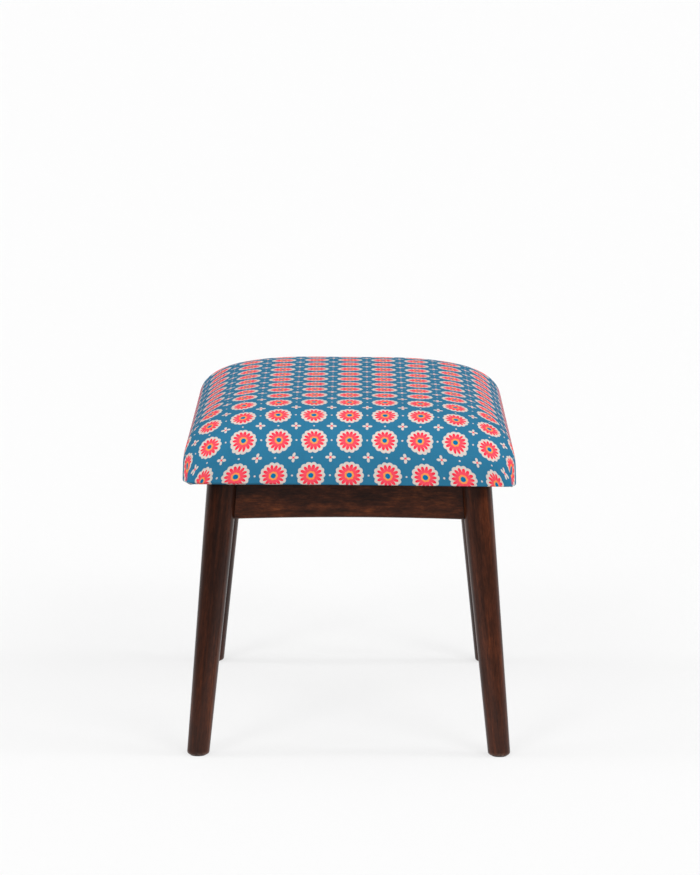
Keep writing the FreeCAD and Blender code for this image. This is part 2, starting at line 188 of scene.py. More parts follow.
# Print, in millimetres of cloth. A ring of lobes has their count, base radius, height and roundness.
MILLIMETRES = 1000.0
PRINT_PITCH = 46.0
HALF_CELL = 0.5
GROUND = srgb(48, 119, 154)
CREAM = srgb(219, 208, 199)
CORAL = srgb(252, 82, 100)
RED = srgb(250, 46, 72)
ORANGE = srgb(250, 160, 84)
CENTRE = srgb(8, 116, 164)
SPRIG = (4, 0.8, 5.6, 1.1)
SPRIG_CENTRE = 1.5
DOT_RADIUS = 1.2
SCALLOPS = (14, 15.6, 1.8, 0.8)
PETALS = (14, 8.0, 6.0, 0.62)
PETAL_BLUSH = (8.0, 12.5)
EYE = (7, 5.0, 0.7, 1.0)
CENTRE_RADIUS = 3.3
EDGE_SOFTNESS = 0.45
INK_WOBBLE = (0.16, 3.0)
INK_DRIFT = (1.6, 1.6, 0.0)

# Cloth of the cover
THREAD_PITCH = 0.62
THREAD_CROSSING = (-0.3, 0.3)
SLUB_STRETCHES = ((1.5, 0.06, 1.0), (0.06, 1.5, 1.0))
SLUB_TONES = (0.6, 1.4, 0.93, 1.05)
SLUB_HEIGHT = 0.35
# The weave's tones paint shade into the gaps between the threads
WEAVE_SHADE_TONES = (0.0, 0.8, 0.90, 1.03)
WEAVE_ROUGHNESS = (0.0, 1.0, 0.92, 0.80)
PATCH_SCALE = 0.02
PATCH_TONES = (0.3, 0.7, 0.97, 1.03)
CANVAS_RELIEF = (0.8, 0.00012)
CANVAS_FINISH = {"Specular IOR Level": 0.05, "Sheen Weight": 0.01, "Sheen Roughness": 0.5}

# Dark wood of the legs and rails
GRAIN_SIDE = Vector((0.37, 0.91, 0.17))
SEED_STEP = 0.613
CLOUDS = (0.22, 26.0, 3.0, 0.55)
STREAKS = (0.035, 150.0, 3.0, 0.6)
MOTTLE = (0.32, 95.0, 6.0, 0.72)
PORES = (0.06, 1000.0, 2.0, 0.6)
FLECKS = (0.25, 430.0, 3.0, 0.65)
GLOSS = (0.3, 40.0)
PLAIN_SHARE = 0.5
STREAK_HEIGHT = 0.4
LEG_FIGURE = 0.2
RAIL_FIGURE = 0.65
RAIL_TONE = 1.0
DARK_STOPS = (
    (0.38, srgb(41, 18, 10)),
    (0.46, srgb(55, 26, 14)),
    (0.53, srgb(72, 34, 18)),
    (0.60, srgb(96, 48, 23)),
    (0.70, srgb(131, 72, 36)),
)
FLECK_TONES = (0.35, 0.7, 0.84, 1.36)
PORE_TONES = (0.36, 0.48, 0.66, 1.0)
PORE_SHARE = 0.8
DARK_ROUGHNESS = (0.3, 0.7, 0.3, 0.42)
DARK_RELIEF = (0.5, 0.00008)
DARK_FINISH = {"Specular IOR Level": 0.1, "Coat Weight": 0.28, "Coat Roughness": 0.1}
# Painted shade: ambient occlusion darkens the wood in tight corners, at the joints and under the seat, but
# not near the floor
PAINTED_SHADE_REACH = 0.012
PAINTED_SHADE_SAMPLES = 8
PAINTED_SHADE_TONES = (0.5, 0.95, 0.18, 1.0)
PAINTED_SHADE_HEIGHTS = (0.02, 0.08)
WEAR_HEIGHTS = (0.0025, 0.0065, 1.0, 0.0)
WEAR_NOISE = (260.0, 3.0, 0.6)
WEAR_SHARES = (0.4, 0.65, 0.1, 0.55)
WORN_WOOD = srgb(128, 100, 86)

# Sideways run of a leg for each length down, and each leg's sides, grain seed and tone
LEG_SPLAY = 0.0903
# The front legs' tones are painted light: the front right leg lighter and the front left leg darker, as the
# light falls from the right
LEGS = (
    ("front_left", -1, -1, 7, 0.77),
    ("front_right", 1, -1, 1, 1.15),
    ("rear_left", -1, 1, 2, 0.9),
    ("rear_right", 1, 1, 3, 0.85),
)
RAILS = (
    ("front_rail", (1, 0, 0), 10),
    ("rear_rail", (1, 0, 0), 11),
    ("left_rail", (0, 1, 0), 12),
    ("right_rail", (0, 1, 0), 13),
)

# Pale wood of the corner blocks, and plywood of the board
BLOCK_GRAIN = ((1, -1, 0), 3)
BLOCK_RINGS = (0.05, 160.0, 4.0, 0.55)
BLOCK_STOPS = ((0.32, srgb(176, 131, 84)), (0.5, srgb(206, 166, 116)), (0.68, srgb(222, 189, 143)))
BLOCK_ROUGHNESS = (0.3, 0.7, 0.85, 0.7)
BLOCK_RELIEF = (0.6, 0.0002)
VENEER_GRAIN = ((0, 1, 0), 5)
VENEER = (0.08, 70.0, 4.0, 0.6)
VENEER_STOPS = ((0.3, srgb(186, 146, 98)), (0.5, srgb(214, 178, 128)), (0.7, srgb(228, 200, 156)))
VENEER_ROUGHNESS = (0.3, 0.7, 0.8, 0.65)
VENEER_RELIEF = (0.5, 0.0002)
PLIES_PER_METRE = 333.0
DARK_PLY = srgb(142, 98, 60)
DARK_PLY_SHARE = 0.6

# Loose fibre, foam and felt: two colours, the scale of the grain and its relief
FLUFF_GRAIN = (5.0, 0.65)
FLUFF_TONES = (0.35, 0.65)
FLUFF_ROUGHNESS = (0.3, 0.7, 1.0, 0.85)
FLUFF_FINISH = {"Specular IOR Level": 0.1, "Sheen Weight": 0.2}
WADDING_FLUFF = (srgb(236, 234, 228), srgb(206, 203, 196), 320.0, (1.0, 0.0006))
FOAM_FLUFF = (srgb(232, 214, 158), srgb(196, 172, 116), 700.0, (1.0, 0.0004))
FELT_FLUFF = (srgb(84, 72, 64), srgb(52, 44, 39), 900.0, (1.0, 0.0004))

# Spun cloth of the dust cover
SPUN_FIBRES = (900.0, 4.0, 0.7)
SPUN_FIBRE_SHARE = 0.6
SPUN_DOT_PITCH = 0.0022
SPUN_DOT_EDGE = (0.55, 0.8)
SPUN_DOT_SHARE = 0.4
SPUN_DARK = srgb(20, 20, 22)
SPUN_PALE = srgb(52, 52, 55)
SPUN_ROUGHNESS = (0.2, 0.8, 0.75, 0.95)
SPUN_RELIEF = (1.0, 0.00015)

# Zinc plated steel
STEEL_MARKS = (1400.0, 3.0, 0.6)
STEEL_SPOTS = (120.0, 3.0, 0.6)
STEEL_SPOT_TONES = (0.4, 0.65)
STEEL_BRIGHT = srgb(196, 196, 192)
STEEL_DULL = srgb(158, 156, 150)
STEEL_ROUGHNESS = (0.3, 0.7, 0.28, 0.46)
STEEL_RELIEF = (0.5, 0.00004)
STEEL_FINISH = {"Metallic": 1.0}

# Camera, found from the photograph's vanishing lines and the bench's size
CAMERA_PLACE = Vector((0.0088, -5.251, 1.236))
CAMERA_PITCH = 9.34
CAMERA_YAW = 0.093
CAMERA_ROLL = 0.14
FOCAL_PIXELS = 3922.0
PHOTO_HEIGHT = 875.0
SENSOR = 36.0

# Studio: how bright the floor and the world show, how much light they give, and where gloss sees them
FLOOR_SIZE = 80.0
WHITE = (1.0, 1.0, 1.0, 1.0)
FLOOR_PAPER = (0.44, 0.44, 0.44, 1.0)
FLOOR_SHADOW = (0.2, 0.2, 0.2, 1.0)
FLOOR_GLOW = 0.685
WORLD_SHOWN = 0.975
WORLD_LIGHT = 0.5
DARK_FRONT = 0.06
FLOOR_BEHIND = (0.0, 2.0, DARK_FRONT, FLOOR_GLOW)
FLOOR_NEAR = (0.9, 2.2, FLOOR_GLOW, DARK_FRONT)
WORLD_BEHIND = (0.2, 0.9, DARK_FRONT, WORLD_SHOWN)

# Lamps: name, direction, strength and width in degrees. A strip has a heading and a strength.
LAMPS = (
    ("front_right", (0.42, -0.85, 0.64), 0.73, 16),
    ("front_left", (-0.39, -0.85, 0.64), 0.56, 16),
    ("side_right", (0.92, -0.35, 0.42), 0.5, 14),
    ("side_left", (-0.92, -0.35, 0.42), 0.3, 14),
    ("top", (0.1, -0.1, 1.0), 0.46, 70),
)
STRIPS = (
    ("right", (1, -0.06), 0.4),
    ("left", (-1, -0.06), 0.3),
)
STRIP_LIFTS = (10, 20, 30, 42)
STRIP_WIDTH = 7
FLOOR_STRIPS = (
    ("floor_right", (1, -0.05), 0.9),
    ("floor_left", (-1, 0.03), 0.85),
    ("floor_front_right", (0.62, -0.78), 0.75),
    ("floor_front_left", (-0.5, -0.87), 0.65),
)
FLOOR_STRIP_LIFTS = (16, 25, 35)
FLOOR_STRIP_WIDTH = 16


def smooth_share(value, low, high):
    """0 below low, 1 above high, and an even S curve between."""
    share = min(max((value - low) / (high - low), 0.0), 1.0)
    return share * share * (3 - 2 * share)


def add_object(name, data):
    """Object of the scene that holds a mesh, lamp or camera."""
    holder = bpy.data.objects.new(name, data)
    scene.collection.objects.link(holder)
    return holder


def mesh_piece(name, points, faces):
    """Smooth mesh as an object of the scene."""
    mesh = bpy.data.meshes.new(name)
    mesh.from_pydata(points, [], faces, shade_flat=False)
    return add_object(name, mesh)


# Pad rings

def roll_ring(angle, inset):
    """Outline of the pad on its rolled edge: half width, half length, corner radius and height."""
    roll_bottom = HEM_Z + PAD_WALL
    z = roll_bottom + (ROLL_TOP - inset - roll_bottom) * math.sin(angle)
    drawn_in = inset + (EDGE_ROLL - inset) * (1 - math.cos(angle))
    return outline(drawn_in, z, inset)


def outline(drawn_in, z, inset):
    """Outline of the pad at a height, drawn in from its widest."""
    height_share = (z - HEM_Z) / (ROLL_TOP - HEM_Z)
    radius = CORNER_RADIUS_HEM + (CORNER_RADIUS_TOP - CORNER_RADIUS_HEM) * height_share - inset
    return HALF_WIDTH - drawn_in, HALF_LENGTH - drawn_in, max(radius, LEAST_RADIUS), z


def hem_rings():
    """Flat hem under the board, from its inner edge outwards, and the round of the lower edge."""
    rings = []
    first_radius = CORNER_RADIUS_HEM - HEM_ROUND
    for step in range(HEM_RINGS):
        share = (1 - step / HEM_RINGS) ** HEM_CROWDING
        inset = HEM_ROUND + (HEM_WIDTH - HEM_ROUND) * share
        radius = first_radius + (HEM_CORNER_RADIUS - first_radius) * share
        rings.append((HALF_WIDTH - inset, HALF_LENGTH - inset, radius, HEM_Z))
    for step in range(ROUND_RINGS):
        angle = math.radians(90 * step / ROUND_RINGS)
        inset = HEM_ROUND * (1 - math.sin(angle))
        z = HEM_Z + HEM_ROUND * (1 - math.cos(angle))
        rings.append((HALF_WIDTH - inset, HALF_LENGTH - inset, CORNER_RADIUS_HEM - inset, z))
    return rings


def wall_rings(inset, bottom):
    """Upright wall of the pad and the foot of its roll, from a height upwards."""
    rings = []
    wall_top = HEM_Z + PAD_WALL
    for step in range(WALL_RINGS):
        z = bottom + (wall_top - bottom) * step / WALL_RINGS
        crease = HEM_CREASE if step == 0 else 0.0
        rings.append(outline(inset + crease, z, inset))
    for step in range(LOW_ROLL_RINGS):
        rings.append(roll_ring(math.radians(LOW_ROLL_ANGLE * step / LOW_ROLL_RINGS), inset))
    return rings


def cap_rings(inset):
    """Rest of the roll and the crown, from outside to the middle line of the top."""
    rings = []
    for step in range(CAP_ROLL_RINGS):
        angle = LOW_ROLL_ANGLE + (90 - LOW_ROLL_ANGLE) * step / CAP_ROLL_RINGS
        rings.append(roll_ring(math.radians(angle), inset))
    top = roll_ring(math.radians(90), inset)
    crown_steps = LEVELS - CAP_ROLL_RINGS
    for step in range(crown_steps + 1):
        share = 1 - step / crown_steps
        rings.append(shrunk_ring(top, share, PAD_CROWN * (1 - share ** 2)))
    return rings


def shrunk_ring(ring, share, rise=0.0):
    """Ring drawn in evenly until, at a share of 0, it is a line along the middle."""
    half_x, half_y, radius, z = ring
    return half_x * share, half_y - half_x * (1 - share), radius * share, z + rise


def turned(x, y, quarters):
    """Flat place turned left by a number of right angles."""
    for _ in range(quarters):
        x, y = -y, x
    return x, y


def side_point(ring, side, share, cluster):
    """Point of a ring on one of its four sides, and the outward direction there.

    A side runs from the middle of one corner's round to the middle of the next, seen from above and
    turning left from the front. Points gather towards the corners by the cluster share.
    """
    half_x, half_y, radius, z = ring
    across, reach = (half_x, half_y) if side % 2 == 0 else (half_y, half_x)
    straight = across - radius
    along = 2 * share - 1
    along = (1 - cluster) * along + cluster * math.sin(math.pi / 2 * along)
    along *= straight + radius * math.pi / 4
    sign = 1 if along >= 0 else -1
    turn = max(abs(along) - straight, 0.0) / radius if radius > 0 else 0.0
    local_x = sign * (min(abs(along), straight) + radius * math.sin(turn))
    local_y = -(reach - radius + radius * math.cos(turn))
    outward_x = sign * math.sin(turn)
    outward_y = -math.cos(turn)
    return Vector((*turned(local_x, local_y, side), z)), Vector((*turned(outward_x, outward_y, side), 0))


def perimeter_places():
    """Side and column of each point round a ring of the strip, from the front left corner."""
    sides = enumerate((COLUMNS, ROWS) * 2)
    return [(side, column, columns) for side, columns in sides for column in range(columns)]


def cap_place(column, row):
    """Ring, side and share along that side of a point of the cap's grid."""
    ring = min(column, COLUMNS - column, row, ROWS - row)
    across = COLUMNS - 2 * ring
    along = ROWS - 2 * ring
    if row == ring and across:
        return ring, 0, (column - ring) / across
    if column == COLUMNS - ring:
        return ring, 1, (row - ring) / along
    if row == ROWS - ring and across:
        return ring, 2, (COLUMNS - ring - column) / across
    return ring, 3, (ROWS - ring - row) / along


def edge_of_cap():
    """Grid places of the cap's outermost ring, in the order of the strip's points."""
    half = [(column, 0) for column in range(COLUMNS)] + [(COLUMNS, row) for row in range(ROWS)]
    return half + [(COLUMNS - column, ROWS - row) for column, row in half]


def grid_faces(grid, downwards=False):
    """Faces of a grid of points, given by column and row."""
    faces = []
    for column in range(COLUMNS):
        for row in range(ROWS):
            corners = [(column, row), (column + 1, row), (column + 1, row + 1), (column, row + 1)]
            if downwards:
                corners[1:] = reversed(corners[1:])
            faces.append([grid[corner] for corner in corners])
    return faces


class PadSurface:
    """Quad mesh of the pad's outside: a strip of rings below, and a grid of rings closing over the top.

    Each point also has a place on the cloth, found by laying the cloth down the surface ring by ring.
    """

    def __init__(self, strip, cap):
        self.points = []
        self.cloth = []
        self.outward = []
        self.faces = []
        self.strip = strip[::-1]
        self.cap = cap
        self.grid = {}
        self.rows = []
        self.add_cap()
        self.add_strip()

    def add_point(self, point, normal, cloth):
        self.points.append(point)
        self.outward.append(normal)
        self.cloth.append(cloth)
        return len(self.points) - 1

    def add_cap(self):
        places = [(column, row) for column in range(COLUMNS + 1) for row in range(ROWS + 1)]
        places.sort(key=lambda place: -cap_place(*place)[0])
        for column, row in places:
            ring, side, share = cap_place(column, row)
            cluster = FOLD_CLUSTER * (1 - smooth_share(ring, 0, CLUSTERED_LEVELS))
            point, normal = side_point(self.cap[ring], side, share, cluster)
            cloth = Vector(point.xy)
            if ring < CAP_ROLL_RINGS:
                inner_column = min(max(column, ring + 1), COLUMNS - ring - 1)
                inner_row = min(max(row, ring + 1), ROWS - ring - 1)
                cloth = self.laid_cloth(self.grid[inner_column, inner_row], point, normal)
            self.grid[column, row] = self.add_point(point, normal, cloth)
        self.faces.extend(grid_faces(self.grid))

    def laid_cloth(self, inner, point, normal):
        """Place on the cloth one step down the surface from a point that has one."""
        step = point - self.points[inner]
        plan = step.xy
        away = plan.normalized() if plan.length > STEEP_STEP * step.length else normal.xy
        return self.cloth[inner] + away * step.length

    def add_strip(self):
        places = perimeter_places()
        above = [self.grid[place] for place in edge_of_cap()]
        for ring in self.strip:
            row = []
            for index, (side, column, columns) in enumerate(places):
                point, normal = side_point(ring, side, column / columns, FOLD_CLUSTER)
                step = (point - self.points[above[index]]).length
                cloth = self.cloth[above[index]] + normal.xy * step
                row.append(self.add_point(point, normal, cloth))
            for index in range(len(places)):
                following = (index + 1) % len(places)
                self.faces.append([row[index], row[following], above[following], above[index]])
            self.rows.append(row)
            above = row

    def close_bottom(self):
        """Flat bottom inside the lowest ring, as one grid like the top's."""
        bottom = dict(zip(edge_of_cap(), self.rows[-1]))
        for column in range(1, COLUMNS):
            for row in range(1, ROWS):
                ring, side, share = cap_place(column, row)
                left = 1 - ring / LEVELS
                flat = shrunk_ring(self.strip[-1], left)
                point, normal = side_point(flat, side, share, FOLD_CLUSTER * left)
                bottom[column, row] = self.add_point(point, normal, Vector(point.xy))
        self.faces.extend(grid_faces(bottom, downwards=True))

    def fold_pleats(self):
        """Fold at each corner's foot: the end panel laps over the side panel, which starts under it."""
        for ring, row in zip(self.strip, self.rows):
            places = [self.points[vertex].copy() for vertex in row]
            folded = 1 - smooth_share(HALF_WIDTH - ring[0], *PLEAT_INSETS)
            for index, (side, column, columns) in enumerate(perimeter_places()):
                vertex = row[index]
                depth = folded * self.pleat_depth(vertex)
                near = self.run_to_fold(row, index, column, columns)
                fade = depth * math.exp(-near / PLEAT_SPREAD)
                if side % 2 == 0 or column == 0:
                    self.points[vertex] += self.outward[vertex] * PLEAT_RISE * fade
                    continue
                self.points[vertex] -= self.outward[vertex] * PLEAT_SINK * fade
                steps = min(column, columns - column)
                if steps <= LAPPED_COLUMNS:
                    fold = index - column if 2 * column < columns else index - column + columns
                    under = (places[fold % len(row)] - places[index]).normalized()
                    self.points[vertex] += under * PLEAT_LAP * depth / steps ** 2

    def pleat_depth(self, vertex):
        """1 at the foot of a pleat, fading to 0 at its top."""
        return 1 - smooth_share(self.points[vertex].z - HEM_Z, PLEAT_FULL_HEIGHT, PLEAT_HEIGHT)

    def run_to_fold(self, row, index, column, columns):
        """Rough distance along a ring from a point to the nearer end of its side."""
        start = index - column
        here, *ends = (self.points[row[place % len(row)]].xy for place in (index, start, start + columns))
        return min((here - end).length for end in ends)

    def tuck_print(self, layer):
        """Shift the print towards the middle of each panel, by the cloth that the pleats take in."""
        places = perimeter_places()
        face = len(self.faces) - len(places) * len(self.rows)
        above = [self.grid[place] for place in edge_of_cap()]
        for row in self.rows:
            for index, (side, column, columns) in enumerate(places):
                corners = ((row, column), (row, column + 1), (above, column + 1), (above, column))
                start = index - column
                for corner, (ring, place) in enumerate(corners):
                    vertex = ring[(start + place) % len(places)]
                    near = self.run_to_fold(ring, start + place, place, columns)
                    tuck = PLEAT_TUCK * self.pleat_depth(vertex) * math.exp(-near / PLEAT_TUCK_SPREAD)
                    tuck *= 1 if 2 * place < columns else -1
                    along_side = Vector(turned(1, 0, side))
                    layer.data[4 * face + corner].uv += tuck * along_side
                face += 1
            above = row

    def lean(self, held_inset, sink=0.0):
        """Lift the left side, and sink the lip on the right. Rings drawn in further than an inset stay."""
        for vertex in self.grid.values():
            self.points[vertex].z += PAD_LIFT * self.left_share(vertex)
        for ring, row in zip(self.strip, self.rows):
            if HALF_WIDTH - ring[0] > held_inset:
                continue
            hang = sink * (1 - smooth_share(ring[3], HEM_Z + HEM_ROUND, HEM_Z + PAD_WALL))
            for vertex in row:
                left = self.left_share(vertex)
                self.points[vertex].z += PAD_LIFT * left - hang * (1 - left)

    def left_share(self, vertex):
        """1 at the left side of the pad, 0 at its right."""
        return (1 - self.points[vertex].x / HALF_WIDTH) / 2

    def build(self, name, pleated=False):
        """The surface as a piece, with its places on the cloth."""
        piece = mesh_piece(name, self.points, self.faces)
        layer = piece.data.uv_layers.new(name=CLOTH_LAYER)
        for loop in piece.data.loops:
            layer.data[loop.index].uv = self.cloth[loop.vertex_index]
        if pleated:
            self.tuck_print(layer)
        return piece


# Shader helpers

def new_material(name):
    """Material with nodes, and their tree."""
    material = bpy.data.materials.new(name)
    material.use_nodes = True
    return material, material.node_tree


def plug(tree, value, socket):
    """Set a socket to a value, or link another socket to it."""
    if isinstance(value, bpy.types.NodeSocket):
        tree.links.new(value, socket)
    else:
        socket.default_value = value


def plug_named(tree, node, values):
    """Set or link inputs of a node by their names."""
    for name, value in values.items():
        plug(tree, value, node.inputs[name])


def new_node(tree, kind, *values, **settings):
    """Node with its settings made, and its first inputs set or linked."""
    node = tree.nodes.new("ShaderNode" + kind)
    for name, setting in settings.items():
        setattr(node, name, setting)
    for socket, value in zip(node.inputs, values):
        plug(tree, value, socket)
    return node


def calc(tree, operation, *values, clamp=False):
    """Result of a Math node."""
    return new_node(tree, "Math", *values, operation=operation, use_clamp=clamp).outputs[0]


def vector_calc(tree, operation, *values):
    """Result of a Vector Math node."""
    outputs = new_node(tree, "VectorMath", *values, operation=operation).outputs
    return outputs["Value" if operation in ("LENGTH", "DOT_PRODUCT") else "Vector"]


def mix_value(tree, share, first, second):
    """Mix of two numbers."""
    node = new_node(tree, "Mix", share)
    plug(tree, first, node.inputs[2])
    plug(tree, second, node.inputs[3])
    return node.outputs[0]


def mix_colour(tree, share, first, second, blend="MIX"):
    """Mix of two colours."""
    node = new_node(tree, "Mix", share, data_type="RGBA", blend_type=blend)
    plug(tree, first, node.inputs[6])
    plug(tree, second, node.inputs[7])
    return node.outputs[2]


def shaded(tree, colour, shade, share=1.0):
    """Colour multiplied by a grey."""
    grey = new_node(tree, "CombineColor", shade, shade, shade).outputs[0]
    return mix_colour(tree, share, colour, grey, "MULTIPLY")


def noise_value(tree, place, scale, detail=2.0, roughness=0.5, output="Fac"):
    """Noise from 0 to 1 at a place."""
    node = new_node(tree, "TexNoise", place)
    plug_named(tree, node, {"Scale": scale, "Detail": detail, "Roughness": roughness})
    return node.outputs[output]


def spread(tree, value, low, high, to_low=0.0, to_high=1.0):
    """Value carried from one range to another, kept inside it."""
    return new_node(tree, "MapRange", value, low, high, to_low, to_high).outputs["Result"]


def stretched(tree, place, scales):
    """Place with its three lengths scaled apart."""
    return vector_calc(tree, "MULTIPLY", place, scales)


def parts_of(tree, place):
    """The three lengths of a place."""
    return new_node(tree, "SeparateXYZ", place).outputs


def object_place(tree):
    return new_node(tree, "TexCoord").outputs["Object"]


def height_above_floor(tree):
    return parts_of(tree, object_place(tree))[2]


def ramp(tree, value, stops):
    """Colour from a value through a few stops."""
    node = new_node(tree, "ValToRGB", value)
    elements = node.color_ramp.elements
    while len(elements) < len(stops):
        elements.new(0.5)
    for element, (place, colour) in zip(elements, stops):
        element.position = place
        element.color = colour
    return node.outputs["Color"]


def finish_material(material, colour, gloss, roughness, height, relief, finish):
    """Give a material's shader its colour, roughness from a gloss, bump and plain values."""
    tree = material.node_tree
    bump = new_node(tree, "Bump", *relief)
    plug_named(tree, bump, {"Height": height})
    plug_named(tree, tree.nodes["Principled BSDF"], finish | {
        "Base Color": colour,
        "Roughness": spread(tree, gloss, *roughness),
        "Normal": bump.outputs["Normal"],
    })
    return material


# Printed cloth

def inside(tree, radius, limit):
    """1 within a limit, 0 outside it, with a slightly soft edge."""
    gap = calc(tree, "SUBTRACT", limit, radius)
    return calc(tree, "MULTIPLY_ADD", gap, 1 / EDGE_SOFTNESS, 0.5, clamp=True)


def cell_place(tree, place, offset):
    """Place within a square cell of the print, from the cell's middle, in millimetres."""
    shifted = calc(tree, "MULTIPLY_ADD", place, 1 / PRINT_PITCH, offset)
    return calc(tree, "MULTIPLY", calc(tree, "SUBTRACT", calc(tree, "FRACT", shifted), 0.5), PRINT_PITCH)


def polar(tree, across, along):
    """Distance and angle of a place in a cell."""
    squares = calc(tree, "MULTIPLY_ADD", across, across, calc(tree, "MULTIPLY", along, along))
    return calc(tree, "SQRT", squares), calc(tree, "ARCTAN2", along, across)


def lobes(tree, angle, count, base, height, power):
    """Radius of a ring of rounded lobes."""
    wave = calc(tree, "ABSOLUTE", calc(tree, "COSINE", calc(tree, "MULTIPLY", angle, count / 2)))
    return calc(tree, "MULTIPLY_ADD", calc(tree, "POWER", wave, power), height, base)


def print_colour(tree, across, along):
    """Rosettes in square rows with small four-leaf sprigs and dots between them, on a blue ground."""
    rosette_across = cell_place(tree, across, HALF_CELL)
    rosette_along = cell_place(tree, along, 0.0)
    sprig_across = cell_place(tree, across, 0.0)
    sprig_along = cell_place(tree, along, HALF_CELL)
    radius, angle = polar(tree, rosette_across, rosette_along)
    sprig_radius, sprig_angle = polar(tree, sprig_across, sprig_along)
    petal_colour = mix_colour(tree, spread(tree, radius, *PETAL_BLUSH), CORAL, RED)
    colour = GROUND
    for distance, limit, paint in (
        (sprig_radius, lobes(tree, sprig_angle, *SPRIG), CREAM),
        (sprig_radius, SPRIG_CENTRE, CORAL),
        (polar(tree, sprig_across, rosette_along)[0], DOT_RADIUS, CREAM),
        (polar(tree, rosette_across, sprig_along)[0], DOT_RADIUS, CREAM),
        (radius, lobes(tree, angle, *SCALLOPS), CREAM),
        (radius, lobes(tree, angle, *PETALS), petal_colour),
        (radius, lobes(tree, angle, *EYE), ORANGE),
        (radius, CENTRE_RADIUS, CENTRE),
    ):
        colour = mix_colour(tree, inside(tree, distance, limit), colour, paint)
    return colour


def weave_height(tree, across, along):
    """Height of a plain weave, from 0 to 1."""
    turns = [calc(tree, "MULTIPLY", length, math.pi / THREAD_PITCH) for length in (across, along)]
    warp, weft = (calc(tree, "ABSOLUTE", calc(tree, "SINE", turn)) for turn in turns)
    crossing = calc(tree, "MULTIPLY", *(calc(tree, "COSINE", turn) for turn in turns))
    return mix_value(tree, spread(tree, crossing, *THREAD_CROSSING), warp, weft)


def print_fabric():
    """Cotton canvas with a block print."""
    material, tree = new_material("print_fabric")
    layer = new_node(tree, "UVMap", uv_map=CLOTH_LAYER)
    cloth = stretched(tree, layer.outputs["UV"], (MILLIMETRES,) * 3)
    wobble = noise_value(tree, cloth, *INK_WOBBLE, output="Color")
    drift = vector_calc(tree, "SUBTRACT", wobble, (0.5, 0.5, 0.5))
    inked = vector_calc(tree, "MULTIPLY_ADD", drift, INK_DRIFT, cloth)
    colour = print_colour(tree, *parts_of(tree, inked)[:2])
    weave = weave_height(tree, *parts_of(tree, cloth)[:2])
    slubs = (noise_value(tree, stretched(tree, cloth, stretch), 1.0) for stretch in SLUB_STRETCHES)
    tone = calc(tree, "ADD", *slubs)
    patches = noise_value(tree, cloth, PATCH_SCALE)
    shade = spread(tree, tone, *SLUB_TONES)
    # Painted shade: the gaps between the threads of the weave are darker
    shade = calc(tree, "MULTIPLY", shade, spread(tree, weave, *WEAVE_SHADE_TONES))
    shade = calc(tree, "MULTIPLY", shade, spread(tree, patches, *PATCH_TONES))
    height = calc(tree, "MULTIPLY_ADD", tone, SLUB_HEIGHT, weave)
    colour = shaded(tree, colour, shade)
    return finish_material(material, colour, weave, WEAVE_ROUGHNESS, height, CANVAS_RELIEF, CANVAS_FINISH)


# Wood

def along_grain(tree, direction, seed):
    """Place turned so that its third length runs along the grain."""
    grain = Vector(direction).normalized()
    side = grain.cross(GRAIN_SIDE).normalized()
    other = grain.cross(side)
    place = object_place(tree)
    lengths = []
    for axis in (side, other, grain):
        length = vector_calc(tree, "DOT_PRODUCT", place, tuple(axis))
        lengths.append(calc(tree, "ADD", length, SEED_STEP * seed))
    return new_node(tree, "CombineXYZ", *lengths).outputs[0]


def grain_noise(tree, place, stretch, *noise_values):
    """Noise drawn out along the grain."""
    return noise_value(tree, stretched(tree, place, (1.0, 1.0, stretch)), *noise_values)


def painted_corner_shade(tree):
    """1 on open wood and near the floor, less in tight corners: painted shade at the joints, in corners and
    under the seat.
    """
    node = new_node(tree, "AmbientOcclusion", samples=PAINTED_SHADE_SAMPLES)
    plug_named(tree, node, {"Distance": PAINTED_SHADE_REACH})
    occlusion_shade = spread(tree, node.outputs["AO"], *PAINTED_SHADE_TONES)
    return mix_value(tree, spread(tree, height_above_floor(tree), *PAINTED_SHADE_HEIGHTS), 1.0, occlusion_shade)


def foot_wear(tree, place):
    """How much finish is rubbed off: only at the lower edge of a leg, and unevenly."""
    low = spread(tree, height_above_floor(tree), *WEAR_HEIGHTS)
    patches = spread(tree, noise_value(tree, place, *WEAR_NOISE), *WEAR_SHARES)
    return calc(tree, "MULTIPLY", low, patches)


def dark_wood(name, direction, seed, figure, tone):
    """Dark stained hardwood: soft streaks, a mottled figure, open pores and a thin satin finish."""
    material, tree = new_material(name)
    place = along_grain(tree, direction, seed)
    streaks = grain_noise(tree, place, *STREAKS)
    pores = grain_noise(tree, place, *PORES)
    flecks = grain_noise(tree, place, *FLECKS)
    plain = calc(tree, "MULTIPLY", streaks, PLAIN_SHARE)
    plain = calc(tree, "MULTIPLY_ADD", grain_noise(tree, place, *CLOUDS), PLAIN_SHARE, plain)
    figured = mix_value(tree, figure, plain, grain_noise(tree, place, *MOTTLE))
    colour = ramp(tree, figured, DARK_STOPS)
    # The tone scales the piece's colour; on the front legs it is painted light from the right
    colour = shaded(tree, colour, tone)
    colour = shaded(tree, colour, spread(tree, flecks, *FLECK_TONES))
    colour = shaded(tree, colour, spread(tree, pores, *PORE_TONES), PORE_SHARE)
    # Painted shade in tight corners, at the joints and under the seat
    colour = shaded(tree, colour, painted_corner_shade(tree))
    colour = mix_colour(tree, foot_wear(tree, place), colour, WORN_WOOD)
    gloss = grain_noise(tree, place, *GLOSS)
    height = calc(tree, "MULTIPLY_ADD", streaks, STREAK_HEIGHT, pores)
    return finish_material(material, colour, gloss, DARK_ROUGHNESS, height, DARK_RELIEF, DARK_FINISH)


def raw_wood():
    """Pale unfinished softwood of the corner blocks."""
    material, tree = new_material("raw_wood")
    rings = grain_noise(tree, along_grain(tree, *BLOCK_GRAIN), *BLOCK_RINGS)
    colour = ramp(tree, rings, BLOCK_STOPS)
    return finish_material(material, colour, rings, BLOCK_ROUGHNESS, rings, BLOCK_RELIEF, {})


